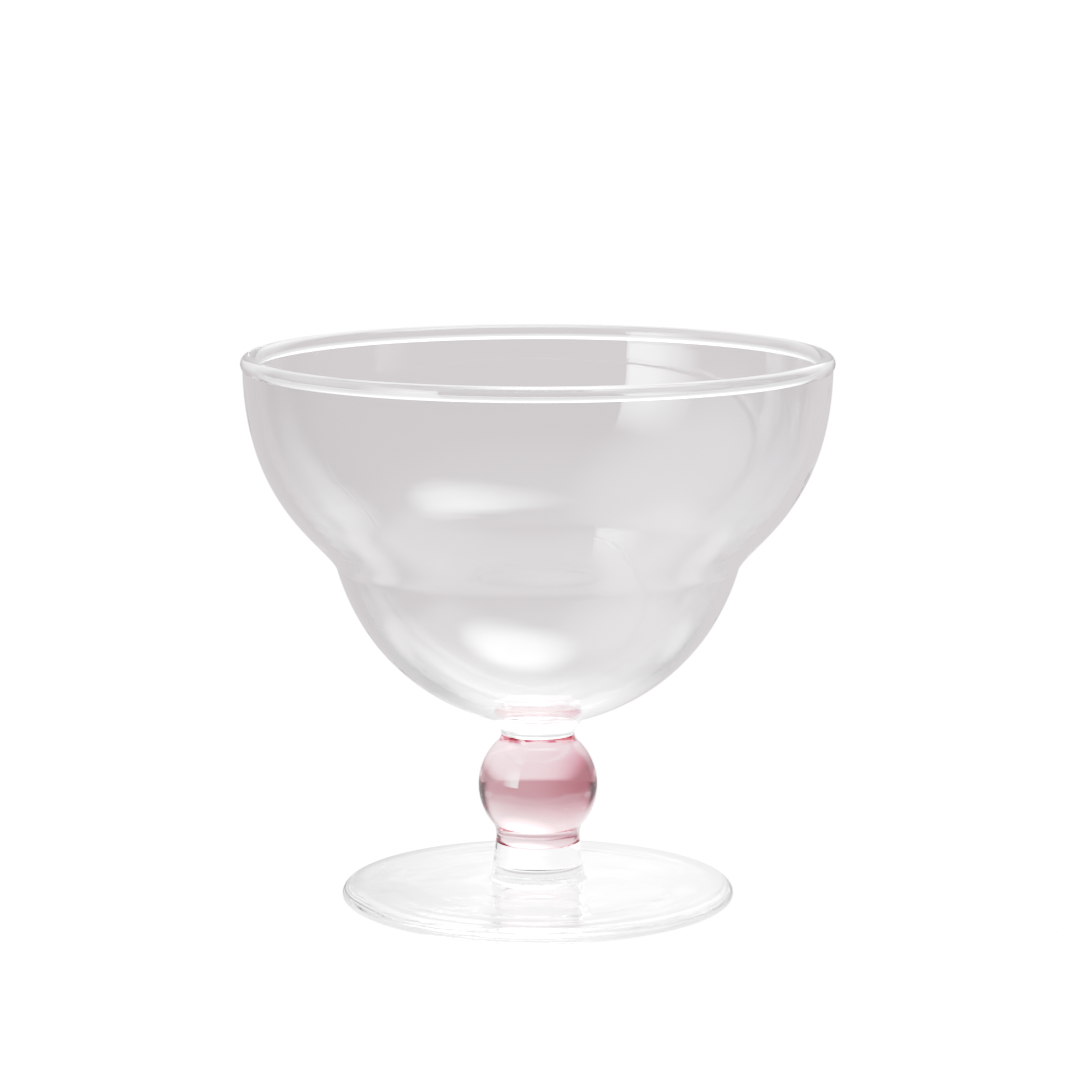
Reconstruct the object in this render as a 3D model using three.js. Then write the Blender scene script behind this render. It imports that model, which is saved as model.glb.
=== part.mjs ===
// Stemmed dessert glass: a clear two-tier bowl with a rolled rim, on a stem with
// one coloured solid ball, on a round foot. All pieces are turned about +Z.
// Millimetres, +Z up, origin at the centre of the foot's underside.

import * as THREE from "three";

// Driving dimensions of the foot
const FOOT_DIAMETER = 75.1;
const FOOT_EDGE_THICKNESS = 3.5;
const FOOT_EDGE_ROUNDING = 2.2;
const FOOT_CENTRE_THICKNESS = 4.2;

// Driving dimensions of the clear post under the ball
const POST_LENGTH = 7.5;
const POST_BASE_DIAMETER = 17.8;
const POST_BASE_FILLET = 0.7;

// Driving dimensions of the coloured ball, with a short neck at each end
const BALL_DIAMETER = 22.8;
const LOWER_WAIST_DIAMETER = 16;
const LOWER_WAIST_FILLET = 3.6;
const LOWER_LIP_LENGTH = 1.5;
const LOWER_LIP_FILLET = 10;
const UPPER_WAIST_DIAMETER = 14;
const UPPER_WAIST_FILLET = 2.3;
const UPPER_LIP_LENGTH = 0.4;

// Driving dimensions of the clear collar under the bowl
const COLLAR_LENGTH = 2.8;
const BOWL_SEAT_DIAMETER = 17.8;

// Driving dimensions of the bowl: wall, lower tier, crease, upper tier and rim
const BOWL_WALL = 2.2;
const LOWER_TIER_HEIGHT = 29.1;
const CREASE_DIAMETER = 76.4;
const UPPER_TIER_HEIGHT = 38.9;
const RIM_DIAMETER = 112;
const RIM_BEAD_OUTER_STEP = 0.4;
const RIM_BEAD_INNER_STEP = 0.6;

// How the two tiers curve: the lean of each end (radius gained for each
// millimetre of height) and how far along that lean the curve holds on
const LOWER_TIER_FLOOR_LEAN = 3.6;
const LOWER_TIER_FLOOR_HOLD = 11.5;
const LOWER_TIER_TOP_LEAN = 0.29;
const LOWER_TIER_TOP_HOLD = 18.6;
const UPPER_TIER_FOOT_LEAN = 0.42;
const UPPER_TIER_FOOT_HOLD = 5.7;
const UPPER_TIER_TOP_HOLD = 27;

// Fineness of the turned surfaces
const TURN_STEPS = 40;
const LOWER_TIER_STEPS = 10;
const UPPER_TIER_STEPS = 14;
const RIM_STEPS = 4;
const RIM_ROOT_STEPS = 2;
const FOOT_EDGE_STEPS = 8;
const HALF_BALL_STEPS = 6;
const WAIST_STEPS = 4;
const LIP_STEPS = 2;
const FILLET_STEPS = 3;
const FLOOR_STEPS = 3;

// Heights of the fused joints, worked up from the foot
const footTop = FOOT_CENTRE_THICKNESS;
const postTop = footTop + POST_LENGTH;
const lowerWaist = postTop + LOWER_LIP_LENGTH;
const ballRadius = BALL_DIAMETER / 2;
const ballCentre = lowerWaist + waistRise(LOWER_WAIST_DIAMETER / 2, LOWER_WAIST_FILLET);
const upperWaist = ballCentre + waistRise(UPPER_WAIST_DIAMETER / 2, UPPER_WAIST_FILLET);
const ballTop = upperWaist + UPPER_LIP_LENGTH;
const bowlSeat = ballTop + COLLAR_LENGTH;
const crease = bowlSeat + LOWER_TIER_HEIGHT;
const rimCentre = crease + UPPER_TIER_HEIGHT;
const beadRadius = (BOWL_WALL + RIM_BEAD_OUTER_STEP + RIM_BEAD_INNER_STEP) / 2;

// Angle at the upper throat's centre where the ball's lip ends and the collar starts
const upperLipAngle = Math.PI - Math.asin(UPPER_LIP_LENGTH / UPPER_WAIST_FILLET);

// Height from the ball's centre to a waist whose round throat touches the ball
function waistRise(waistRadius, fillet) {
  return Math.sqrt((ballRadius + fillet) ** 2 - (waistRadius + fillet) ** 2);
}

// Points along a circular or elliptical arc about a centre, from one angle to another
function arc(centreR, centreZ, radiusR, radiusZ, from, to, steps) {
  const points = [];
  for (let i = 0; i <= steps; i += 1) {
    const angle = from + ((to - from) * i) / steps;
    const r = centreR + radiusR * Math.cos(angle);
    const z = centreZ + radiusZ * Math.sin(angle);
    points.push(new THREE.Vector2(r, z));
  }
  return points;
}

// A solid of revolution about +Z from a profile that starts and ends on the axis
function turned(name, profile, material) {
  const geometry = new THREE.LatheGeometry(profile, TURN_STEPS);
  geometry.rotateX(Math.PI / 2);
  const mesh = new THREE.Mesh(geometry, material);
  mesh.name = name;
  return mesh;
}

function clearGlass() {
  return new THREE.MeshStandardMaterial({
    color: 0xe9edec,
    roughness: 0.02,
    metalness: 0,
    transparent: true,
    opacity: 0.35,
  });
}

function pinkGlass() {
  return new THREE.MeshStandardMaterial({
    color: 0xcf9aa2,
    roughness: 0.02,
    metalness: 0,
    transparent: true,
    opacity: 0.6,
  });
}

// Foot: a disc with a flat underside, a rounded edge and a gentle cone up to the post
function makeFoot() {
  const edgeRadius = FOOT_DIAMETER / 2 - FOOT_EDGE_ROUNDING;
  const halfEdge = FOOT_EDGE_THICKNESS / 2;
  const padRadius = POST_BASE_DIAMETER / 2 + POST_BASE_FILLET;
  const edge = arc(
    edgeRadius, halfEdge, FOOT_EDGE_ROUNDING, halfEdge,
    -Math.PI / 2, Math.PI / 2, FOOT_EDGE_STEPS,
  );
  const profile = [
    new THREE.Vector2(0, 0),
    ...edge,
    new THREE.Vector2(padRadius, footTop),
    new THREE.Vector2(0, footTop),
  ];
  return turned("foot", profile, clearGlass());
}

// Lower lip: the gentle hollow that runs from the post's top up to the lower waist
function lowerLipArc() {
  const centreR = LOWER_WAIST_DIAMETER / 2 + LOWER_LIP_FILLET;
  const spread = Math.asin(LOWER_LIP_LENGTH / LOWER_LIP_FILLET);
  return arc(
    centreR, lowerWaist, LOWER_LIP_FILLET, LOWER_LIP_FILLET,
    Math.PI + spread, Math.PI, LIP_STEPS,
  );
}

// Upper throat: the hollow about the upper waist, between two angles from its centre
function upperThroatArc(from, to, steps) {
  const centreR = UPPER_WAIST_DIAMETER / 2 + UPPER_WAIST_FILLET;
  return arc(
    centreR, upperWaist, UPPER_WAIST_FILLET, UPPER_WAIST_FILLET, from, to, steps,
  );
}

// Post: the clear solid length between the foot and the ball, filleted onto the foot
function makeLowerStem() {
  const baseRadius = POST_BASE_DIAMETER / 2;
  const lip = lowerLipArc();
  const fillet = arc(
    baseRadius + POST_BASE_FILLET, footTop + POST_BASE_FILLET,
    POST_BASE_FILLET, POST_BASE_FILLET, -Math.PI / 2, -Math.PI, FILLET_STEPS,
  );
  const profile = [
    new THREE.Vector2(0, footTop),
    ...fillet,
    lip[0],
    new THREE.Vector2(0, postTop),
  ];
  return turned("lower_stem", profile, clearGlass());
}

// Ball: coloured solid sphere that runs through a hollow throat into a lip at each end
function makeStemBall() {
  const lowerTouch = Math.asin((ballCentre - lowerWaist) / (ballRadius + LOWER_WAIST_FILLET));
  const upperTouch = Math.asin((upperWaist - ballCentre) / (ballRadius + UPPER_WAIST_FILLET));
  const lowerThroat = arc(
    LOWER_WAIST_DIAMETER / 2 + LOWER_WAIST_FILLET, lowerWaist,
    LOWER_WAIST_FILLET, LOWER_WAIST_FILLET,
    Math.PI, Math.PI - lowerTouch, WAIST_STEPS,
  );
  const lowerHalf = arc(
    0, ballCentre, ballRadius, ballRadius, -lowerTouch, 0, HALF_BALL_STEPS,
  );
  const upperHalf = arc(
    0, ballCentre, ballRadius, ballRadius, 0, upperTouch, HALF_BALL_STEPS,
  );
  const upperThroat = upperThroatArc(Math.PI + upperTouch, upperLipAngle, WAIST_STEPS);
  const profile = [
    new THREE.Vector2(0, postTop),
    ...lowerLipArc(),
    ...lowerThroat.slice(1),
    ...lowerHalf.slice(1),
    ...upperHalf.slice(1),
    ...upperThroat.slice(1),
    new THREE.Vector2(0, ballTop),
  ];
  return turned("stem_ball", profile, pinkGlass());
}

// Collar: the clear glass between the ball and the bowl. Its throat goes on from the
// ball's upper lip and runs off straight, touching the throat, to the bowl's seat.
function makeUpperCollar() {
  const seatRadius = BOWL_SEAT_DIAMETER / 2;
  const outwards = seatRadius - (UPPER_WAIST_DIAMETER / 2 + UPPER_WAIST_FILLET);
  const upwards = bowlSeat - upperWaist;
  const toSeat = Math.atan2(upwards, outwards);
  const turn = Math.acos(UPPER_WAIST_FILLET / Math.hypot(outwards, upwards));
  const profile = [
    new THREE.Vector2(0, ballTop),
    ...upperThroatArc(upperLipAngle, toSeat + turn, WAIST_STEPS),
    new THREE.Vector2(seatRadius, bowlSeat),
    new THREE.Vector2(0, bowlSeat),
  ];
  return turned("upper_collar", profile, clearGlass());
}

// A point a given distance along a lean from another point
function alongLean(point, lean, distance) {
  const direction = new THREE.Vector2(lean, 1).normalize();
  return point.clone().addScaledVector(direction, distance);
}

// The outline of one tier moved inwards by the wall, at evenly spaced curve points
function innerWall(tier, steps) {
  const points = [];
  for (let i = steps; i >= 0; i -= 1) {
    const along = tier.getTangent(i / steps);
    const inward = new THREE.Vector2(-along.y, along.x);
    points.push(tier.getPoint(i / steps).addScaledVector(inward, BOWL_WALL));
  }
  return points;
}

// Bowl: two blown tiers with a crease between them, one wall thick, and a rolled rim
function makeBowl() {
  const seat = new THREE.Vector2(BOWL_SEAT_DIAMETER / 2, bowlSeat);
  const creasePoint = new THREE.Vector2(CREASE_DIAMETER / 2, crease);
  const rim = new THREE.Vector2(RIM_DIAMETER / 2 - RIM_BEAD_OUTER_STEP, rimCentre);
  const lowerTier = new THREE.CubicBezierCurve(
    seat,
    alongLean(seat, LOWER_TIER_FLOOR_LEAN, LOWER_TIER_FLOOR_HOLD),
    alongLean(creasePoint, LOWER_TIER_TOP_LEAN, -LOWER_TIER_TOP_HOLD),
    creasePoint,
  );
  const upperTier = new THREE.CubicBezierCurve(
    creasePoint,
    alongLean(creasePoint, UPPER_TIER_FOOT_LEAN, UPPER_TIER_FOOT_HOLD),
    alongLean(rim, 0, -UPPER_TIER_TOP_HOLD),
    rim,
  );

  // The bead stands proud of both faces of the wall, and starts where it crosses them
  const beadCentre = RIM_DIAMETER / 2 - beadRadius;
  const outerRoot = -Math.acos(1 - RIM_BEAD_OUTER_STEP / beadRadius);
  const innerRoot = Math.PI + Math.acos(1 - RIM_BEAD_INNER_STEP / beadRadius);
  const beadArc = (from, to, steps) =>
    arc(beadCentre, rimCentre, beadRadius, beadRadius, from, to, steps);
  const bead = [
    ...beadArc(outerRoot, 0, RIM_ROOT_STEPS),
    ...beadArc(0, Math.PI, RIM_STEPS).slice(1),
    ...beadArc(Math.PI, innerRoot, RIM_ROOT_STEPS).slice(1),
  ];
  const outerLimit = bead[0].y;
  const innerLimit = bead[bead.length - 1].y;

  const outerUpper = upperTier.getPoints(UPPER_TIER_STEPS).filter((p) => p.y < outerLimit);
  const innerUpper = innerWall(upperTier, UPPER_TIER_STEPS).filter((p) => p.y < innerLimit);
  const innerLower = innerWall(lowerTier, LOWER_TIER_STEPS);

  // The inside floor is a shallow dish that runs on from the last wall point
  const last = innerLower[innerLower.length - 1];
  const floorHeight = last.y - last.x / (2 * LOWER_TIER_FLOOR_LEAN);
  const floor = new THREE.QuadraticBezierCurve(
    last,
    new THREE.Vector2(last.x / 2, floorHeight),
    new THREE.Vector2(0, floorHeight),
  );

  const profile = [
    new THREE.Vector2(0, bowlSeat),
    ...lowerTier.getPoints(LOWER_TIER_STEPS),
    ...outerUpper.slice(1),
    ...bead,
    ...innerUpper,
    ...innerLower,
    ...floor.getPoints(FLOOR_STEPS).slice(1),
  ];
  return turned("bowl", profile, clearGlass());
}

const glass = new THREE.Group();
glass.add(makeFoot());
glass.add(makeLowerStem());
glass.add(makeStemBall());
glass.add(makeUpperCollar());
glass.add(makeBowl());

export default glass;
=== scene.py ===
import math

import bpy
import numpy as np
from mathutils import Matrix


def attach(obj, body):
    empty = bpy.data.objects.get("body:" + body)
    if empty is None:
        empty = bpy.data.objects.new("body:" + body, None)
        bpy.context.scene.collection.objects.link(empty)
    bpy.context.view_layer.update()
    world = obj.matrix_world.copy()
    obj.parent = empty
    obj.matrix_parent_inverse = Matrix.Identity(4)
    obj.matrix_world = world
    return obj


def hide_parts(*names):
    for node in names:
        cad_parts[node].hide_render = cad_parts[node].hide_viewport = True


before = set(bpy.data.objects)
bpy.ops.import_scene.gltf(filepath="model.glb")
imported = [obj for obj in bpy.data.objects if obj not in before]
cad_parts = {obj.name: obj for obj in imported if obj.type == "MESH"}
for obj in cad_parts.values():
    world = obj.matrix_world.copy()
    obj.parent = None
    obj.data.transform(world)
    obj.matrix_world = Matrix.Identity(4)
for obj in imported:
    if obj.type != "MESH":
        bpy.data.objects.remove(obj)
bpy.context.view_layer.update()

# The foot: a disc of clear borosilicate, pressed flat while hot and rounded at its edge
# by the flame. Its top rises a little towards the middle, where the post is fused on.

MM = 0.001  # The glass's sizes are in millimetres, and the studio's in metres.
FOOT_DIAMETER = 75.1
FOOT_EDGE_THICKNESS = 3.5
FOOT_EDGE_ROUNDING = 2.2
FOOT_LOWER_ROUNDING = 5.0
FOOT_CENTRE_THICKNESS = 4.2
POST_BASE_DIAMETER = 17.8
POST_BASE_FILLET = 0.7
SAME_POINT = 1e-5
TURNING_STEPS = 224
CREASE_ANGLE = math.radians(24)
NO_SEAM = -1.0
BOROSILICATE_IOR = 1.47
CLEAR_TINT = "#FCFDFD"
WAVE_SIZE = (15, 15, 15)
LATHE_RING_SIZE = (36, 36, 4)
SMUDGE_SIZE = (9, 9, 9)
CLEAN_ROUGHNESS = 0.004
SMUDGED_ROUGHNESS = 0.030
SCRATCH_SIZE = (1, 1, 1)
SCRATCHED_ROUGHNESS = 0.16
WEAR_STARTS, WEAR_FULL = 3.5, 1.0
WEAR_HEIGHT, WEAR_ENDS = 0.1, 0.4
PADDLE_RING_SIZE = (50, 50, 3)
PADDLE_RING_HEIGHT = 0.24
PADDLE_STARTS, PADDLE_FULL = 10.0, 2.0


def arc(centre, radius, start, end, steps):
    """Points (r, z) along a round arc of a turned outline, or an oval one with two radii."""
    angle = np.linspace(start, end, steps + 1)
    return np.array(centre) + np.array(radius) * np.stack([np.cos(angle), np.sin(angle)], 1)


def straight(start, end, steps):
    """Evenly spaced points (r, z) from start to end."""
    share = np.linspace(0, 1, steps + 1)[:, None]
    return (1 - share) * np.asarray(start, float) + share * np.asarray(end, float)


def outline(*runs):
    """The runs of points joined into one outline, each shared point once."""
    points = [runs[0][0]]
    for point in np.concatenate(runs):
        if math.dist(point, points[-1]) > SAME_POINT:
            points.append(point)
    return np.array(points)


def add(tree, kind, settings=None, links=None):
    """A new node with its settings and the sockets that feed its inputs."""
    node = tree.nodes.new(kind)
    for name, value in (settings or {}).items():
        if hasattr(node, str(name)):
            setattr(node, name, value)
        else:
            node.inputs[name].default_value = value
    for name, source in (links or {}).items():
        tree.links.new(source, node.inputs[name])
    return node


def linear(hex_colour):
    """A linear colour from an sRGB hex value."""
    parts = [int(hex_colour[i : i + 2], 16) / 255 for i in (1, 3, 5)]
    return (*[p / 12.92 if p <= 0.04045 else ((p + 0.055) / 1.055) ** 2.4 for p in parts], 1.0)


def turning_tree():
    """Geometry Nodes that turn an outline, drawn as a chain of edges, about the Z axis."""
    tree = bpy.data.node_groups.new("Turn about the axis", "GeometryNodeTree")
    sockets = [
        ("Outline", "INPUT", "NodeSocketGeometry"),
        ("Turning steps", "INPUT", "NodeSocketInt"),
        ("Crease angle", "INPUT", "NodeSocketFloat"),
        ("Seam below", "INPUT", "NodeSocketFloat"),
        ("Seam above", "INPUT", "NodeSocketFloat"),
        ("Glass", "INPUT", "NodeSocketMaterial"),
        ("Seam", "INPUT", "NodeSocketMaterial"),
        ("Turned piece", "OUTPUT", "NodeSocketGeometry"),
    ]
    for name, side, kind in sockets:
        tree.interface.new_socket(name=name, in_out=side, socket_type=kind)
    inputs = add(tree, "NodeGroupInput").outputs

    # A flat grid with a column for each step of the turn and a row for each outline point.
    steps = inputs["Turning steps"]
    count = add(tree, "GeometryNodeAttributeDomainSize", {}, {"Geometry": inputs["Outline"]})
    rows = count.outputs["Point Count"]
    columns = add(tree, "ShaderNodeMath", {"operation": "ADD", 1: 1.0}, {0: steps})
    size = {"Vertices X": columns.outputs[0], "Vertices Y": rows}
    grid = add(tree, "GeometryNodeMeshGrid", {}, size)

    # Each grid point goes to its outline point, turned by its column's share of the turn.
    split = {0: add(tree, "GeometryNodeInputIndex").outputs[0], 1: rows}
    column = add(tree, "FunctionNodeIntegerMath", {"operation": "DIVIDE_FLOOR"}, split)
    row = add(tree, "FunctionNodeIntegerMath", {"operation": "MODULO"}, split)
    place = add(tree, "GeometryNodeInputPosition").outputs[0]
    drawn = add(
        tree,
        "GeometryNodeSampleIndex",
        {"data_type": "FLOAT_VECTOR"},
        {"Geometry": inputs["Outline"], "Value": place, "Index": row.outputs[0]},
    )
    share = add(tree, "ShaderNodeMath", {"operation": "DIVIDE"}, {0: column.outputs[0], 1: steps})
    full_turn = {"operation": "MULTIPLY", 1: 2 * math.pi}
    angle = add(tree, "ShaderNodeMath", full_turn, {0: share.outputs[0]})
    turned = add(
        tree,
        "ShaderNodeVectorRotate",
        {"rotation_type": "Z_AXIS"},
        {"Vector": drawn.outputs["Value"], "Angle": angle.outputs[0]},
    )
    placed = add(
        tree,
        "GeometryNodeSetPosition",
        {},
        {"Geometry": grid.outputs["Mesh"], "Position": turned.outputs[0]},
    )

    # The seam of the turn and the two poles are closed, and only real corners stay sharp.
    touching = {"Distance": 2e-6}
    closed = add(tree, "GeometryNodeMergeByDistance", touching, {"Geometry": placed.outputs[0]})
    all_smooth = {"domain": "FACE"}
    smooth = add(tree, "GeometryNodeSetShadeSmooth", all_smooth, {"Geometry": closed.outputs[0]})
    edge = add(tree, "GeometryNodeInputMeshEdgeAngle")
    crease = add(
        tree,
        "FunctionNodeCompare",
        {"data_type": "FLOAT", "operation": "GREATER_THAN"},
        {0: edge.outputs["Unsigned Angle"], 1: inputs["Crease angle"]},
    )
    creased = add(
        tree,
        "GeometryNodeSetShadeSmooth",
        {"domain": "EDGE", "Shade Smooth": False},
        {"Geometry": smooth.outputs[0], "Selection": crease.outputs[0]},
    )

    # The faces at a seam's height get the seam's material.
    height = add(tree, "ShaderNodeSeparateXYZ", {}, {0: place}).outputs["Z"]
    same_height = {"data_type": "FLOAT", "operation": "EQUAL", "Epsilon": 1e-6}
    below = add(tree, "FunctionNodeCompare", same_height, {0: height, 1: inputs["Seam below"]})
    above = add(tree, "FunctionNodeCompare", same_height, {0: height, 1: inputs["Seam above"]})
    either = {0: below.outputs[0], 1: above.outputs[0]}
    at_seam = add(tree, "FunctionNodeBooleanMath", {"operation": "OR"}, either)
    real = add(tree, "GeometryNodeRealizeInstances", {}, {"Geometry": creased.outputs[0]})
    glass = add(
        tree,
        "GeometryNodeSetMaterial",
        {},
        {"Geometry": real.outputs[0], "Material": inputs["Glass"]},
    )
    seam = add(
        tree,
        "GeometryNodeSetMaterial",
        {},
        {"Geometry": glass.outputs[0], "Selection": at_seam.outputs[0], "Material": inputs["Seam"]},
    )
    add(tree, "NodeGroupOutput", {}, {0: seam.outputs[0]})
    return tree


TURNING = turning_tree()


def turned_piece(name, points, glass, seam, seam_below=NO_SEAM, seam_above=NO_SEAM):
    """A closed piece of glass turned from its outline in millimetres, as a plain mesh."""
    chain = bpy.data.meshes.new(name + "_outline")
    edges = [(i, i + 1) for i in range(len(points) - 1)]
    chain.from_pydata([(r * MM, 0.0, z * MM) for r, z in points], edges, [])
    blank = bpy.data.objects.new(name + "_blank", chain)
    bpy.context.scene.collection.objects.link(blank)
    modifier = blank.modifiers.new("Turn", "NODES")
    modifier.node_group = TURNING
    values = {
        "Turning steps": TURNING_STEPS,
        "Crease angle": CREASE_ANGLE,
        "Seam below": seam_below * MM,
        "Seam above": seam_above * MM,
        "Glass": glass,
        "Seam": seam,
    }
    for item in TURNING.interface.items_tree:
        if item.name in values:
            modifier[item.identifier] = values[item.name]
    shown = blank.evaluated_get(bpy.context.evaluated_depsgraph_get())
    mesh = bpy.data.meshes.new_from_object(shown)
    mesh.name = name
    bpy.data.objects.remove(blank)
    bpy.data.meshes.remove(chain)
    piece = bpy.data.objects.new(name, mesh)
    bpy.context.scene.collection.objects.link(piece)
    return piece


def mottle(tree, where, size, detail=2.0):
    """Cloudy mottling from 0 to 1 with features of a size in millimetres, one for each axis."""
    per_feature = {"operation": "MULTIPLY", 1: [1 / (MM * s) for s in size]}
    scaled = add(tree, "ShaderNodeVectorMath", per_feature, {0: where}).outputs[0]
    cloudy = {"Scale": 1.0, "Detail": detail, "Roughness": 0.45}
    return add(tree, "ShaderNodeTexNoise", cloudy, {"Vector": scaled}).outputs["Fac"]


def falloff(tree, value, stops, of=None):
    """A smooth step of a value, from (place, level) to (place, level). The levels are shares
    of another amount where one is given."""
    (start, low), (end, high) = stops
    step = add(
        tree,
        "ShaderNodeMapRange",
        {
            "interpolation_type": "SMOOTHSTEP",
            "From Min": start,
            "From Max": end,
            "To Min": low,
            "To Max": high,
        },
        {"Value": value},
    ).outputs["Result"]
    if of is None:
        return step
    return add(tree, "ShaderNodeMath", {"operation": "MULTIPLY"}, {0: of, 1: step}).outputs[0]


def from_axis(tree, place):
    """Distance from the glass's upright axis, in metres."""
    level = add(tree, "ShaderNodeCombineXYZ", {}, {"X": place["X"], "Y": place["Y"]}).outputs[0]
    return add(tree, "ShaderNodeVectorMath", {"operation": "LENGTH"}, {0: level}).outputs["Value"]


def flame_work(tree, wave_height, ring_height):
    """The surface that flame work leaves. Slow waves come from hand pressure. Faint rings,
    4 mm apart, come from turning on the lathe, and run round a wall and round a disc.
    Handling leaves thin smudges."""
    where = add(tree, "ShaderNodeTexCoord").outputs["Object"]
    place = add(tree, "ShaderNodeSeparateXYZ", {}, {0: where}).outputs
    up_and_out = {0: place["Z"], 1: from_axis(tree, place)}
    along = add(tree, "ShaderNodeMath", {"operation": "ADD"}, up_and_out).outputs[0]
    spun = add(tree, "ShaderNodeCombineXYZ", {}, {"X": place["X"], "Y": place["Y"], "Z": along})
    waves = mottle(tree, where, WAVE_SIZE)
    rings = mottle(tree, spun.outputs[0], LATHE_RING_SIZE)
    smudges = mottle(tree, where, SMUDGE_SIZE, detail=4.0)
    wavy = add(tree, "ShaderNodeBump", {"Distance": wave_height * MM}, {"Height": waves})
    ringed = {"Height": rings, "Normal": wavy.outputs[0]}
    bump = add(tree, "ShaderNodeBump", {"Distance": ring_height * MM}, ringed)
    polish = falloff(tree, smudges, [(0.45, CLEAN_ROUGHNESS), (0.75, SMUDGED_ROUGHNESS)])
    shader = tree.nodes["Principled BSDF"]
    tree.links.new(bump.outputs[0], shader.inputs["Normal"])
    tree.links.new(polish, shader.inputs["Roughness"])
    return where


def clear_borosilicate(name, wave_height, ring_height):
    """Clear borosilicate tube glass, worked in a flame, so every face is fire-polished: the
    eye gets clean mirror edges, a little wavy, and no tint in a wall this thin."""
    material = bpy.data.materials.new(name)
    material.use_nodes = True
    tree = material.node_tree
    shader = tree.nodes["Principled BSDF"]
    shader.inputs["Base Color"].default_value = linear(CLEAR_TINT)
    shader.inputs["IOR"].default_value = BOROSILICATE_IOR
    shader.inputs["Transmission Weight"].default_value = 1.0
    flame_work(tree, wave_height, ring_height)
    return material


def fused_seam():
    """Where two pieces were melted into one another: light crosses it straight."""
    material = bpy.data.materials.new("fused_seam_of_two_glasses")
    material.use_nodes = True
    shader = material.node_tree.nodes["Principled BSDF"]
    shader.inputs["Base Color"].default_value = linear("#FFFFFF")
    shader.inputs["Roughness"].default_value = 0.0
    shader.inputs["Alpha"].default_value = 0.0
    return material


def resting_wear(material, flat_radius):
    """Fine scratches, about 1 mm long, where the foot has stood and slid on tables. They
    leave a dull ring under its rim, and the rest stays polished."""
    tree = material.node_tree
    where = add(tree, "ShaderNodeTexCoord").outputs["Object"]
    place = add(tree, "ShaderNodeSeparateXYZ", {}, {0: where}).outputs
    near_edge = [((flat_radius - WEAR_STARTS) * MM, 0.0), ((flat_radius - WEAR_FULL) * MM, 1.0)]
    ring = falloff(tree, from_axis(tree, place), near_edge)
    under = falloff(tree, place["Z"], [(WEAR_HEIGHT * MM, 1.0), (WEAR_ENDS * MM, 0.0)], of=ring)
    scratches = mottle(tree, where, SCRATCH_SIZE, detail=3.0)
    dull = falloff(tree, scratches, [(0.45, 0.0), (0.62, SCRATCHED_ROUGHNESS)], of=under)
    rough = tree.nodes["Principled BSDF"].inputs["Roughness"]
    both = {0: rough.links[0].from_socket, 1: dull}
    worn = add(tree, "ShaderNodeMath", {"operation": "ADD"}, both)
    tree.links.new(worn.outputs[0], rough)


def paddle_rings(material, flat_radius):
    """Rings that the paddle left near the rim while it flattened the spinning foot, about
    3 mm apart. They show as bright and dark arcs along the rim."""
    tree = material.node_tree
    where = add(tree, "ShaderNodeTexCoord").outputs["Object"]
    place = add(tree, "ShaderNodeSeparateXYZ", {}, {0: where}).outputs
    out = from_axis(tree, place)
    spun = add(tree, "ShaderNodeCombineXYZ", {}, {"X": place["X"], "Y": place["Y"], "Z": out})
    rings = mottle(tree, spun.outputs[0], PADDLE_RING_SIZE, detail=0.0)
    near_edge = [((flat_radius - PADDLE_STARTS) * MM, 0.0), ((flat_radius - PADDLE_FULL) * MM, 1.0)]
    height = falloff(tree, out, near_edge, of=rings)
    normal = tree.nodes["Principled BSDF"].inputs["Normal"]
    over_waves = {"Height": height, "Normal": normal.links[0].from_socket}
    bump = add(tree, "ShaderNodeBump", {"Distance": PADDLE_RING_HEIGHT * MM}, over_waves)
    tree.links.new(bump.outputs[0], normal)


FOOT_GLASS = clear_borosilicate("pressed_clear_borosilicate", wave_height=0.16, ring_height=0.06)
FUSED_SEAM = fused_seam()

foot_top = FOOT_CENTRE_THICKNESS
half_edge = FOOT_EDGE_THICKNESS / 2
edge_radius = FOOT_DIAMETER / 2 - FOOT_EDGE_ROUNDING
flat_radius = FOOT_DIAMETER / 2 - FOOT_LOWER_ROUNDING
pad_radius = POST_BASE_DIAMETER / 2 + POST_BASE_FILLET
lower_rounding = (FOOT_LOWER_ROUNDING, half_edge)
upper_rounding = (FOOT_EDGE_ROUNDING, half_edge)
resting_wear(FOOT_GLASS, flat_radius)
paddle_rings(FOOT_GLASS, flat_radius)
foot_outline = outline(
    straight((0, 0), (flat_radius, 0), steps=24),
    arc((flat_radius, half_edge), lower_rounding, -math.pi / 2, 0, steps=24),
    arc((edge_radius, half_edge), upper_rounding, 0, math.pi / 2, steps=20),
    straight((edge_radius, FOOT_EDGE_THICKNESS), (pad_radius, foot_top), steps=24),
    straight((pad_radius, foot_top), (0, foot_top), steps=8),
)
foot = turned_piece("foot_disc", foot_outline, FOOT_GLASS, FUSED_SEAM, seam_above=foot_top)
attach(foot, "root")
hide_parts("foot")

# The post: a short solid length of clear rod between the foot and the ball. It is melted
# into the foot, and the flame left a small round fillet where they meet.

POST_LENGTH = 7.5
LOWER_WAIST_DIAMETER = 16.0
LOWER_LIP_LENGTH = 1.5
LOWER_LIP_FILLET = 10.0
SEAM_GAP = 0.01

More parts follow.
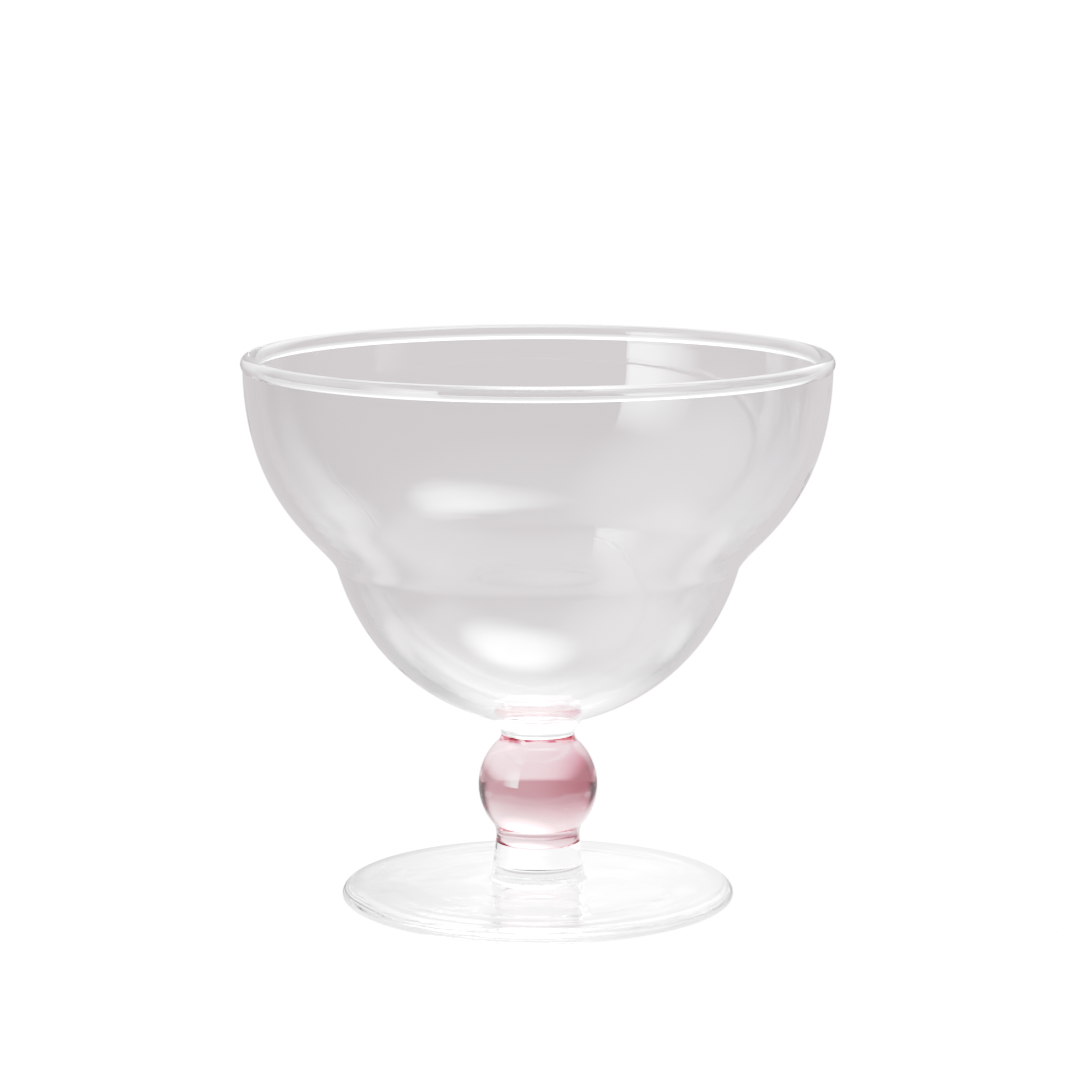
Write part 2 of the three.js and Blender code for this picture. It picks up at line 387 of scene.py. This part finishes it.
post_top = foot_top + POST_LENGTH
lower_waist = post_top + LOWER_LIP_LENGTH
lower_waist_radius = LOWER_WAIST_DIAMETER / 2
lip_centre = (lower_waist_radius + LOWER_LIP_FILLET, lower_waist)
lip_spread = math.asin(LOWER_LIP_LENGTH / LOWER_LIP_FILLET)
lower_lip = arc(lip_centre, LOWER_LIP_FILLET, math.pi + lip_spread, math.pi, steps=10)
post_top_radius = lower_lip[0][0]
fillet_centre = (pad_radius, foot_top + POST_BASE_FILLET)
fillet_top = (POST_BASE_DIAMETER / 2, foot_top + POST_BASE_FILLET)
post_shoulder = (post_top_radius, post_top - SEAM_GAP)
post_outline = outline(
    straight((0, foot_top), (pad_radius, foot_top), steps=8),
    arc(fillet_centre, POST_BASE_FILLET, -math.pi / 2, -math.pi, steps=14),
    straight(fillet_top, post_shoulder, steps=20),
    straight(post_shoulder, (0, post_top - SEAM_GAP), steps=8),
)
ROD_GLASS = clear_borosilicate("drawn_clear_borosilicate_rod", wave_height=0.06, ring_height=0.02)
post = turned_piece("stem_post", post_outline, ROD_GLASS, FUSED_SEAM, seam_below=foot_top)
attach(post, "root")
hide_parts("lower_stem")

# The ball: a solid gather of pink glass, coloured through, marvered round and drawn in
# to a short neck at each end, where it is tacked to the clear post and collar. A hair of
# air stays in each of these two seams, so the eye sees them as thin bright rings.

BALL_DIAMETER = 22.8
LOWER_WAIST_FILLET = 3.6
UPPER_WAIST_DIAMETER = 14.0
UPPER_WAIST_FILLET = 2.3
UPPER_LIP_LENGTH = 0.4
PINK_DENSITY = 31.0
PINK_PASSED = "#E63C65"
PALE_SKIN = "#FDF3F5"
DEEP_SKIN_AND_PAINTED_SHADE = "#D89AA8"
# Painted shade: the pink skin deepens towards the right, for the dimmer light on that side.
RIGHT_SHADE_FROM, RIGHT_SHADE_FULL_AT = -2.0, 11.0
STREAK_SIZE = (14, 14, 5)
STREAK_STRENGTH = 0.5
# Painted shade: dark blotches at both seams of the ball.
SEAM_PAINTED_SHADE = "#7A2C40"
SEAM_SHADE_PATCH_SIZE = (4, 4, 3)
LOWER_SEAM_SHADE_REACH = (0.3, 0.9)
UPPER_SEAM_SHADE_REACH = (0.8, 1.6)


def pink_borosilicate(lower_seam, upper_seam):
    """Borosilicate coloured through with pink: deeper where light runs further in it. Its skin
    is painted deeper on the right, as painted shade for the dimmer light on that side, and
    dark blotches, about 4 mm long, are painted at both seams as painted shade there."""
    material = bpy.data.materials.new("fire_polished_pink_borosilicate")
    material.use_nodes = True
    tree = material.node_tree
    shader = tree.nodes["Principled BSDF"]
    shader.inputs["IOR"].default_value = BOROSILICATE_IOR
    shader.inputs["Transmission Weight"].default_value = 1.0
    where = flame_work(tree, wave_height=0.05, ring_height=0.02)
    place = add(tree, "ShaderNodeSeparateXYZ", {}, {0: where}).outputs

    # The skin is pale on the left, painted shade deepens it on the right, with slow streaks.
    streaks = mottle(tree, where, STREAK_SIZE)
    both_ways = {"operation": "MULTIPLY_ADD", 1: STREAK_STRENGTH, 2: -STREAK_STRENGTH / 2}
    streak = add(tree, "ShaderNodeMath", both_ways, {0: streaks}).outputs[0]
    # Painted shade: deeper pink towards the right, standing in for dimmer light there.
    side = falloff(tree, place["X"], [(RIGHT_SHADE_FROM * MM, 0.0), (RIGHT_SHADE_FULL_AT * MM, 1.0)])
    clamped = {"operation": "ADD", "use_clamp": True}
    streaks_and_right_shade = add(tree, "ShaderNodeMath", clamped, {0: side, 1: streak}).outputs[0]
    skins = {"data_type": "RGBA", 6: linear(PALE_SKIN), 7: linear(DEEP_SKIN_AND_PAINTED_SHADE)}
    skin = add(tree, "ShaderNodeMix", skins, {0: streaks_and_right_shade}).outputs[2]

    # The painted shade lies in blotches within a millimetre or two of the seams.
    near, far = [(lower_seam + gap) * MM for gap in LOWER_SEAM_SHADE_REACH]
    at_lower = falloff(tree, place["Z"], [(near, 1.0), (far, 0.0)])
    near, far = [(upper_seam - gap) * MM for gap in UPPER_SEAM_SHADE_REACH]
    at_upper = falloff(tree, place["Z"], [(far, 0.0), (near, 1.0)])
    at_end = add(tree, "ShaderNodeMath", {"operation": "MAXIMUM"}, {0: at_lower, 1: at_upper})
    cloudy = mottle(tree, where, SEAM_SHADE_PATCH_SIZE)
    painted_seam_shade = falloff(tree, cloudy, [(0.5, 0.0), (0.6, 1.0)], of=at_end.outputs[0])
    # The dark blotches are painted shade at the seams.
    dark = {"data_type": "RGBA", 7: linear(SEAM_PAINTED_SHADE)}
    skin = add(tree, "ShaderNodeMix", dark, {0: painted_seam_shade, 6: skin}).outputs[2]
    tree.links.new(skin, shader.inputs["Base Color"])

    colour = {"Color": linear(PINK_PASSED), "Density": PINK_DENSITY}
    inside = add(tree, "ShaderNodeVolumeAbsorption", colour).outputs["Volume"]
    tree.links.new(inside, tree.nodes["Material Output"].inputs["Volume"])
    return material


def waist_rise(waist_radius, fillet):
    """Height from the ball's centre to a waist whose round throat touches the ball."""
    return math.sqrt((ball_radius + fillet) ** 2 - (waist_radius + fillet) ** 2)


ball_radius = BALL_DIAMETER / 2
ball_centre = lower_waist + waist_rise(lower_waist_radius, LOWER_WAIST_FILLET)
upper_waist = ball_centre + waist_rise(UPPER_WAIST_DIAMETER / 2, UPPER_WAIST_FILLET)
ball_top = upper_waist + UPPER_LIP_LENGTH
lower_touch = math.asin((ball_centre - lower_waist) / (ball_radius + LOWER_WAIST_FILLET))
upper_touch = math.asin((upper_waist - ball_centre) / (ball_radius + UPPER_WAIST_FILLET))
lower_throat_centre = (lower_waist_radius + LOWER_WAIST_FILLET, lower_waist)
throat_r = UPPER_WAIST_DIAMETER / 2 + UPPER_WAIST_FILLET
throat_centre = (throat_r, upper_waist)
upper_throat = arc(throat_centre, UPPER_WAIST_FILLET, math.pi + upper_touch, math.pi, steps=24)
lower_lip[0][1] += SEAM_GAP
upper_throat[-1][1] -= SEAM_GAP
ball_outline = outline(
    straight((0, post_top + SEAM_GAP), (post_top_radius, post_top + SEAM_GAP), steps=8),
    lower_lip,
    arc(lower_throat_centre, LOWER_WAIST_FILLET, math.pi, math.pi - lower_touch, steps=24),
    arc((0, ball_centre), ball_radius, -lower_touch, upper_touch, steps=120),
    upper_throat,
    straight(upper_throat[-1], (0, upper_waist - SEAM_GAP), steps=8),
)
PINK_GLASS = pink_borosilicate(post_top, upper_waist)
ball = turned_piece("stem_ball_pink", ball_outline, PINK_GLASS, PINK_GLASS)
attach(ball, "root")
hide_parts("stem_ball")

# The collar: a thin disc of clear glass that joins the ball to the bowl. It flares from
# the ball's upper neck to the bowl's seat, into which it is melted.

COLLAR_LENGTH = 2.8
BOWL_SEAT_DIAMETER = 17.8

bowl_seat = ball_top + COLLAR_LENGTH
seat_radius = BOWL_SEAT_DIAMETER / 2
outwards, upwards = seat_radius - throat_r, bowl_seat - upper_waist
flare_lean = math.acos(UPPER_WAIST_FILLET / math.hypot(outwards, upwards))
throat_end = math.atan2(upwards, outwards) + flare_lean
collar_throat = arc(throat_centre, UPPER_WAIST_FILLET, math.pi, throat_end, steps=24)
collar_throat[0][1] += SEAM_GAP
collar_outline = outline(
    straight((0, upper_waist + SEAM_GAP), collar_throat[0], steps=8),
    collar_throat,
    straight(collar_throat[-1], (seat_radius, bowl_seat), steps=6),
    straight((seat_radius, bowl_seat), (0, bowl_seat), steps=8),
)
collar = turned_piece("bowl_collar", collar_outline, ROD_GLASS, FUSED_SEAM, seam_above=bowl_seat)
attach(collar, "root")
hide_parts("upper_collar")

# The bowl: blown from clear tube in two tiers with a crease between them, its lip rolled
# in the flame to a round bead. Its floor is fused to the collar below it.

BOWL_WALL = 2.2
LOWER_TIER_HEIGHT = 29.1
CREASE_DIAMETER = 76.4
UPPER_TIER_HEIGHT = 38.9
RIM_DIAMETER = 112.0
RIM_BEAD_OUTER_STEP = 0.4
RIM_BEAD_INNER_STEP = 0.6
LOWER_TIER_FLOOR_LEAN = 3.6
LOWER_TIER_FLOOR_HOLD = 11.5
LOWER_TIER_TOP_LEAN = 0.29
LOWER_TIER_TOP_HOLD = 18.6
UPPER_TIER_FOOT_LEAN = 0.42
UPPER_TIER_FOOT_HOLD = 5.7
UPPER_TIER_TOP_HOLD = 27.0
TIER_STEPS = 90
DISH_STEPS = 12


def along_lean(point, lean, distance):
    """A point a given distance along a lean, in radius per height, from another point."""
    return np.asarray(point) + distance * np.array([lean, 1.0]) / math.hypot(lean, 1)


def tier(start, start_hold, end_hold, end):
    """A tier's outer curve and its inner one, a wall's thickness inside it."""
    t = np.linspace(0, 1, TIER_STEPS + 1)[:, None]
    outer = (
        (1 - t) ** 3 * start
        + 3 * (1 - t) ** 2 * t * start_hold
        + 3 * (1 - t) * t**2 * end_hold
        + t**3 * end
    )
    along = (
        (1 - t) ** 2 * (start_hold - start)
        + 2 * (1 - t) * t * (end_hold - start_hold)
        + t**2 * (end - end_hold)
    )
    along /= np.hypot(along[:, :1], along[:, 1:])
    return outer, outer + BOWL_WALL * np.stack([-along[:, 1], along[:, 0]], 1)


crease_height = bowl_seat + LOWER_TIER_HEIGHT
rim_centre = crease_height + UPPER_TIER_HEIGHT
seat = np.array([seat_radius, bowl_seat])
crease = np.array([CREASE_DIAMETER / 2, crease_height])
rim = np.array([RIM_DIAMETER / 2 - RIM_BEAD_OUTER_STEP, rim_centre])
lower_outer, lower_inner = tier(
    seat,
    along_lean(seat, LOWER_TIER_FLOOR_LEAN, LOWER_TIER_FLOOR_HOLD),
    along_lean(crease, LOWER_TIER_TOP_LEAN, -LOWER_TIER_TOP_HOLD),
    crease,
)
upper_outer, upper_inner = tier(
    crease,
    along_lean(crease, UPPER_TIER_FOOT_LEAN, UPPER_TIER_FOOT_HOLD),
    along_lean(rim, 0, -UPPER_TIER_TOP_HOLD),
    rim,
)
bead_radius = (BOWL_WALL + RIM_BEAD_OUTER_STEP + RIM_BEAD_INNER_STEP) / 2
bead_centre = (RIM_DIAMETER / 2 - bead_radius, rim_centre)
outer_root = -math.acos(1 - RIM_BEAD_OUTER_STEP / bead_radius)
inner_root = math.pi + math.acos(1 - RIM_BEAD_INNER_STEP / bead_radius)
bead = arc(bead_centre, bead_radius, outer_root, inner_root, steps=48)
last = lower_inner[0]
floor_height = last[1] - last[0] / (2 * LOWER_TIER_FLOOR_LEAN)
t = np.linspace(0, 1, DISH_STEPS + 1)[:, None]
dish = (
    (1 - t) ** 2 * last
    + 2 * (1 - t) * t * np.array([last[0] / 2, floor_height])
    + t**2 * np.array([0, floor_height])
)
bowl_outline = outline(
    straight((0, bowl_seat), seat, steps=8),
    lower_outer,
    upper_outer[upper_outer[:, 1] < bead[0][1]],
    bead,
    upper_inner[upper_inner[:, 1] < bead[-1][1]][::-1],
    lower_inner[::-1],
    dish,
)
BLOWN_GLASS = clear_borosilicate("blown_clear_borosilicate", wave_height=0.06, ring_height=0.018)
bowl = turned_piece("bowl_two_tier", bowl_outline, BLOWN_GLASS, FUSED_SEAM, seam_below=bowl_seat)
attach(bowl, "root")
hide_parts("bowl")

# The table: a plain pale sheet of opal acrylic, a little larger than the glass, whose edges
# fade out. The camera sees it as white as the paper round it. The glass shows painted light on
# it, glowing: a pool under the glass, a wide one before it, and a spot at each side.

TABLE_HALF_WIDTH = 0.15
TABLE_FRONT = -0.102
TABLE_BACK = 0.096
TABLE_FADE = 0.016
TABLE_DROP = 0.00005
SHEET_COLOUR = "#5A5A5A"
SHEET_ROUGHNESS = 0.9
# The tint of the white paper and of the light painted on the sheet.
PAPER_AND_PAINTED_LIGHT_TINT = "#FFF9FC"
TABLE_LIGHT = 0.3
POOL_CENTRE_X = 0.008
POOL_LIGHT = 3.2
POOL_SIDES = [(0.01, POOL_LIGHT), (0.047, 0.0)]
POOL_FRONT = [(-0.045, 0.2), (-0.005, 1.0)]
POOL_BACK = [(0.0, 1.0), (0.055, 0.45)]
WIDE_LIGHT = 2.2
WIDE_SIDES = [(0.08, WIDE_LIGHT), (0.115, 0.0)]
WIDE_FRONT = [(-0.09, 0.0), (-0.055, 1.0)]
WIDE_BACK = [(-0.02, 1.0), (0.02, 0.0)]
WIDE_UNDER_FOOT = [(0.03, 0.25), (0.042, 1.0)]
SPOT_LIGHT = 2.0
SPOT_PLACE = (0.082, 0.024, 0.0)
SPOT_REACH = [(0.008, SPOT_LIGHT), (0.029, 0.0)]
WHITE_PAPER = 3.3


def sheet_with_painted_light():
    """Opal acrylic sheet: diffuse and pale, with pools of light painted on it as glow."""
    material = bpy.data.materials.new("pale_sheet_with_painted_light")
    material.use_nodes = True
    tree = material.node_tree
    shader = tree.nodes["Principled BSDF"]
    shader.inputs["Base Color"].default_value = linear(SHEET_COLOUR)
    shader.inputs["Roughness"].default_value = SHEET_ROUGHNESS
    shader.inputs["Specular IOR Level"].default_value = 0.0
    shader.inputs["Emission Color"].default_value = linear(PAPER_AND_PAINTED_LIGHT_TINT)
    where = add(tree, "ShaderNodeTexCoord").outputs["Object"]
    place = add(tree, "ShaderNodeSeparateXYZ", {}, {0: where}).outputs
    from_pool = {"operation": "SUBTRACT", 1: POOL_CENTRE_X}
    offset = add(tree, "ShaderNodeMath", from_pool, {0: place["X"]}).outputs[0]
    aside = add(tree, "ShaderNodeMath", {"operation": "ABSOLUTE"}, {0: offset}).outputs[0]
    # Painted light: glowing pools under, before and beside the glass, for light gathered there.
    painted_pool = falloff(tree, aside, POOL_SIDES)
    painted_pool = falloff(tree, place["Y"], POOL_FRONT, of=painted_pool)
    painted_pool = falloff(tree, place["Y"], POOL_BACK, of=painted_pool)
    painted_wide_pool = falloff(tree, aside, WIDE_SIDES)
    painted_wide_pool = falloff(tree, place["Y"], WIDE_FRONT, of=painted_wide_pool)
    painted_wide_pool = falloff(tree, place["Y"], WIDE_BACK, of=painted_wide_pool)
    painted_wide_pool = falloff(tree, from_axis(tree, place), WIDE_UNDER_FOOT, of=painted_wide_pool)
    either_side = add(tree, "ShaderNodeMath", {"operation": "ABSOLUTE"}, {0: place["X"]}).outputs[0]
    mirrored = add(tree, "ShaderNodeCombineXYZ", {}, {"X": either_side, "Y": place["Y"]})
    from_spot = {"operation": "DISTANCE", 1: SPOT_PLACE}
    away = add(tree, "ShaderNodeVectorMath", from_spot, {0: mirrored.outputs[0]})
    painted_spots = falloff(tree, away.outputs["Value"], SPOT_REACH)
    lit = add(tree, "ShaderNodeMath", {"operation": "MAXIMUM"}, {0: painted_pool, 1: painted_wide_pool})
    lit = add(tree, "ShaderNodeMath", {"operation": "MAXIMUM"}, {0: lit.outputs[0], 1: painted_spots})
    over_all = {"operation": "ADD", 1: TABLE_LIGHT}
    soft = add(tree, "ShaderNodeMath", over_all, {0: lit.outputs[0]}).outputs[0]
    seen = add(tree, "ShaderNodeLightPath").outputs["Is Camera Ray"]
    soft_or_white = {"Value": seen, "To Min": soft}
    white_or_painted_light = add(tree, "ShaderNodeMapRange", {"To Max": WHITE_PAPER}, soft_or_white)
    tree.links.new(white_or_painted_light.outputs["Result"], shader.inputs["Emission Strength"])
    sides = [(TABLE_HALF_WIDTH - 2 * TABLE_FADE, 1.0), (TABLE_HALF_WIDTH, 0.0)]
    back = [(TABLE_BACK - TABLE_FADE, 1.0), (TABLE_BACK, 0.0)]
    front = [(TABLE_FRONT, 0.0), (TABLE_FRONT + TABLE_FADE, 1.0)]
    there = falloff(tree, either_side, sides)
    there = falloff(tree, place["Y"], back, of=there)
    there = falloff(tree, place["Y"], front, of=there)
    tree.links.new(there, shader.inputs["Alpha"])
    return material


table_corners = [
    (-TABLE_HALF_WIDTH, TABLE_FRONT, 0.0),
    (TABLE_HALF_WIDTH, TABLE_FRONT, 0.0),
    (TABLE_HALF_WIDTH, TABLE_BACK, 0.0),
    (-TABLE_HALF_WIDTH, TABLE_BACK, 0.0),
]
table_mesh = bpy.data.meshes.new("table_top")
table_mesh.from_pydata(table_corners, [], [(0, 1, 2, 3)])
table_mesh.materials.append(sheet_with_painted_light())
table_top = bpy.data.objects.new("table_top", table_mesh)
table_top.location.z = -TABLE_DROP
bpy.context.scene.collection.objects.link(table_top)

# The studio: white paper that the camera sees, a grey backdrop and a dim room that the
# glass shows, a soft light overhead and a tall window-shaped softbox at the front left.

BRIGHTEST = 8.0
# Each stop is an elevation in degrees, a radiance and a tint.
BACKDROP_STOPS = [
    (-90, 0.90, "#FFF4F8"),
    (-16, 0.90, "#FFF4F8"),
    (-4, 0.90, "#FFF4F8"),
    (1, 0.97, "#FFF6F9"),
    (6, 1.4, "#FFFDFE"),
    (14, 2.0, "#FFFFFF"),
    (24, 3.2, "#FFFFFF"),
    (50, 3.2, "#FFFFFF"),
    (90, 1.5, "#FFFFFF"),
]
ROOM_STOPS = [
    (-90, 0.8, "#FBFDFF"),
    (-20, 0.35, "#F4FAFF"),
    (0, 0.15, "#F4FAFF"),
    (40, 0.3, "#F8FCFF"),
    (90, 1.5, "#FFFFFF"),
]
BACKDROP_MIDDLE = (180, 0)
BACKDROP_ENDS, BACKDROP_FULL = 57, 39
BACKDROP_LEFT = [(-0.6, 0.84), (0.0, 1.0)]
GLOW_MIDDLE = (168, 38)
GLOW_REACH = 28
GLOW_LIGHT = 7.0
LEFT_WALL_MIDDLE = (-92, 42)
LEFT_WALL_REACH = 46
LEFT_WALL_LIGHT = 3.6


def towards_light(azimuth, elevation):
    """The direction of an azimuth, 0 at the camera's side and 90 at the right, and height."""
    a, e = math.radians(azimuth), math.radians(elevation)
    return (math.sin(a) * math.cos(e), -math.cos(a) * math.cos(e), math.sin(e))


def ramp_by_height(tree, height, stops):
    """Radiance by elevation in degrees, as a share of the brightest, with its tint."""
    ramp = add(tree, "ShaderNodeValToRGB", {}, {"Fac": height})
    points = ramp.color_ramp.elements
    while len(points) > 1:
        points.remove(points[-1])
    for number, (elevation, radiance, tint) in enumerate(stops):
        place = (math.sin(math.radians(elevation)) + 1) / 2
        point = points[0] if number == 0 else points.new(place)
        point.position = place
        point.color = (*[radiance / BRIGHTEST * part for part in linear(tint)[:3]], 1.0)
    return ramp.outputs["Color"]


def with_patch(tree, where, light, middle, reach, patch_light):
    """The light of a part of the studio, with a soft round patch of light added to it."""
    towards = {"operation": "DOT_PRODUCT", 1: towards_light(*middle)}
    across = add(tree, "ShaderNodeVectorMath", towards, {0: where}).outputs["Value"]
    patch = falloff(tree, across, [(math.cos(math.radians(reach)), 0.0), (1.0, 1.0)])
    added = {"operation": "MULTIPLY_ADD", 1: [patch_light / BRIGHTEST] * 3}
    return add(tree, "ShaderNodeVectorMath", added, {0: patch, 2: light}).outputs["Vector"]


def studio_world():
    """White paper for the camera, and for all other light the backdrop behind the glass,
    which is dimmer towards the left, and the room round the rest."""
    world = bpy.data.worlds.new("white_paper_and_grey_studio")
    world.use_nodes = True
    tree = world.node_tree
    tree.nodes.clear()
    where = add(tree, "ShaderNodeTexCoord").outputs["Generated"]
    direction = add(tree, "ShaderNodeSeparateXYZ", {}, {0: where}).outputs
    up_and_down = {"From Min": -1.0, "From Max": 1.0}
    height = add(tree, "ShaderNodeMapRange", up_and_down, {"Value": direction["Z"]}).outputs[0]
    level = add(tree, "ShaderNodeCombineXYZ", {}, {"X": direction["X"], "Y": direction["Y"]})
    level = add(tree, "ShaderNodeVectorMath", {"operation": "NORMALIZE"}, {0: level.outputs[0]})
    to_backdrop = {"operation": "DOT_PRODUCT", 1: towards_light(*BACKDROP_MIDDLE)}
    facing = add(tree, "ShaderNodeVectorMath", to_backdrop, {0: level.outputs[0]})
    ends = math.cos(math.radians(BACKDROP_ENDS))
    full = math.cos(math.radians(BACKDROP_FULL))
    behind = falloff(tree, facing.outputs["Value"], [(ends, 0.0), (full, 1.0)])

    side = add(tree, "ShaderNodeSeparateXYZ", {}, {0: level.outputs[0]}).outputs["X"]
    dim_left = falloff(tree, side, BACKDROP_LEFT)
    backdrop = {0: ramp_by_height(tree, height, BACKDROP_STOPS), "Scale": dim_left}
    backdrop = add(tree, "ShaderNodeVectorMath", {"operation": "SCALE"}, backdrop).outputs[0]
    backdrop = with_patch(tree, where, backdrop, GLOW_MIDDLE, GLOW_REACH, GLOW_LIGHT)
    room = ramp_by_height(tree, height, ROOM_STOPS)
    room = with_patch(tree, where, room, LEFT_WALL_MIDDLE, LEFT_WALL_REACH, LEFT_WALL_LIGHT)
    both = add(tree, "ShaderNodeMix", {"data_type": "RGBA"}, {0: behind, 6: room, 7: backdrop})
    studio = add(tree, "ShaderNodeBackground", {"Strength": BRIGHTEST}, {"Color": both.outputs[2]})
    white = {"Color": linear("#FFFFFF"), "Strength": WHITE_PAPER}
    paper = add(tree, "ShaderNodeBackground", white)
    seen = add(tree, "ShaderNodeLightPath").outputs["Is Camera Ray"]
    either = {0: seen, 1: studio.outputs[0], 2: paper.outputs[0]}
    shown = add(tree, "ShaderNodeMixShader", {}, either)
    add(tree, "ShaderNodeOutputWorld", {}, {"Surface": shown.outputs[0]})
    return world


bpy.context.scene.world = studio_world()


def softbox(name, place, turn, size, radiance):
    """A softbox at a place, facing down before its turn in degrees. Gives the nodes of its
    light and the spot on its cloth, from -1 to 1 across it and up it."""
    light = bpy.data.lights.new(name, "AREA")
    light.shape = "RECTANGLE"
    light.size, light.size_y = size
    light.energy = radiance * math.pi * light.size * light.size_y
    light.use_nodes = True
    tree = light.node_tree
    cloth = add(tree, "ShaderNodeNewGeometry").outputs["Parametric"]
    from_middle = {"operation": "MULTIPLY_ADD", 1: (2.0, 2.0, 0.0), 2: (-1.0, -1.0, 0.0)}
    spot = add(tree, "ShaderNodeVectorMath", from_middle, {0: cloth}).outputs["Vector"]
    box = bpy.data.objects.new(name, light)
    box.location = place
    box.rotation_euler = [math.radians(angle) for angle in turn]
    box.visible_camera = False
    bpy.context.scene.collection.objects.link(box)
    return tree, spot


# The overhead softbox is lit in its middle and fades towards its rim.

OVERHEAD_PLACE = (0.25, 0.22, 1.36)
OVERHEAD_SIZE = (1.50, 1.10)
OVERHEAD_FADE = [(0.3, 1.0), (1.0, 0.0)]

tree, spot = softbox("overhead_softbox", OVERHEAD_PLACE, (0, 0, 0), OVERHEAD_SIZE, radiance=28.0)
out = add(tree, "ShaderNodeVectorMath", {"operation": "LENGTH"}, {0: spot}).outputs["Value"]
shine = falloff(tree, out, OVERHEAD_FADE)
tree.links.new(shine, tree.nodes["Emission"].inputs["Strength"])

# The window has one sharp upright edge with a bright strip along it, fades to its other
# side, and dims upwards.

WINDOW_PLACE = (-1.02, -0.66, 0.58)
WINDOW_TURN = (90, 0, -57)
WINDOW_SIZE = (0.80, 1.06)
WINDOW_STRIP = [(-0.1, 0.0), (0.35, 0.42)]
WINDOW_SIDE = [(-1.0, 0.0), (0.1, 0.58)]
WINDOW_TOP = [(1.0, 0.0), (-0.7, 1.0)]

tree, spot = softbox("front_left_window", WINDOW_PLACE, WINDOW_TURN, WINDOW_SIZE, radiance=20.0)
across = add(tree, "ShaderNodeSeparateXYZ", {}, {0: spot}).outputs
strip = falloff(tree, across["X"], WINDOW_STRIP)
side = falloff(tree, across["X"], WINDOW_SIDE)
shine = add(tree, "ShaderNodeMath", {"operation": "ADD"}, {0: strip, 1: side}).outputs[0]
shine = falloff(tree, across["Y"], WINDOW_TOP, of=shine)
tree.links.new(shine, tree.nodes["Emission"].inputs["Strength"])

# The camera: a long lens at the photograph's height and tilt, and a tone curve with a
# soft shoulder, so that bright light in the glass rolls off to white as on film.

CAMERA_PLACE = (0.0004, -0.7505, 0.18711)
CAMERA_PITCH = math.radians(8.872)
FOCAL_LENGTH = 133.47
SENSOR_WIDTH = 36.0
TONE_CURVE = [
    (0.0, 0.0),
    (0.3, 0.3),
    (0.5, 0.475),
    (0.8, 0.645),
    (1.2, 0.755),
    (1.9, 0.855),
    (2.6, 0.93),
    (3.2, 1.0),
]
BOUNCES_IN_GLASS = 32

lens = bpy.data.cameras.new("camera")
lens.lens = FOCAL_LENGTH
lens.sensor_width = SENSOR_WIDTH
camera = bpy.data.objects.new("camera", lens)
camera.location = CAMERA_PLACE
camera.rotation_euler = (math.pi / 2 - CAMERA_PITCH, 0.0, 0.0)
bpy.context.scene.collection.objects.link(camera)
bpy.context.scene.camera = camera
view = bpy.context.scene.view_settings
view.view_transform = "Standard"
view.use_curve_mapping = True
tones = view.curve_mapping
tones.clip_max_x, tones.clip_max_y = TONE_CURVE[-1]
tones.extend = "HORIZONTAL"
for channel in tones.curves[:3]:
    channel.points[1].location = TONE_CURVE[-1]
    for point in TONE_CURVE[1:-1]:
        channel.points.new(*point)
    for point in channel.points:
        point.handle_type = "AUTO_CLAMPED"
tones.update()
cycles = bpy.context.scene.cycles
cycles.max_bounces = BOUNCES_IN_GLASS
cycles.glossy_bounces = BOUNCES_IN_GLASS
cycles.transmission_bounces = BOUNCES_IN_GLASS
cycles.transparent_max_bounces = BOUNCES_IN_GLASS
# Bright light mirrored in the glass keeps its soft edges only without this limit.
cycles.sample_clamp_indirect = 0.0
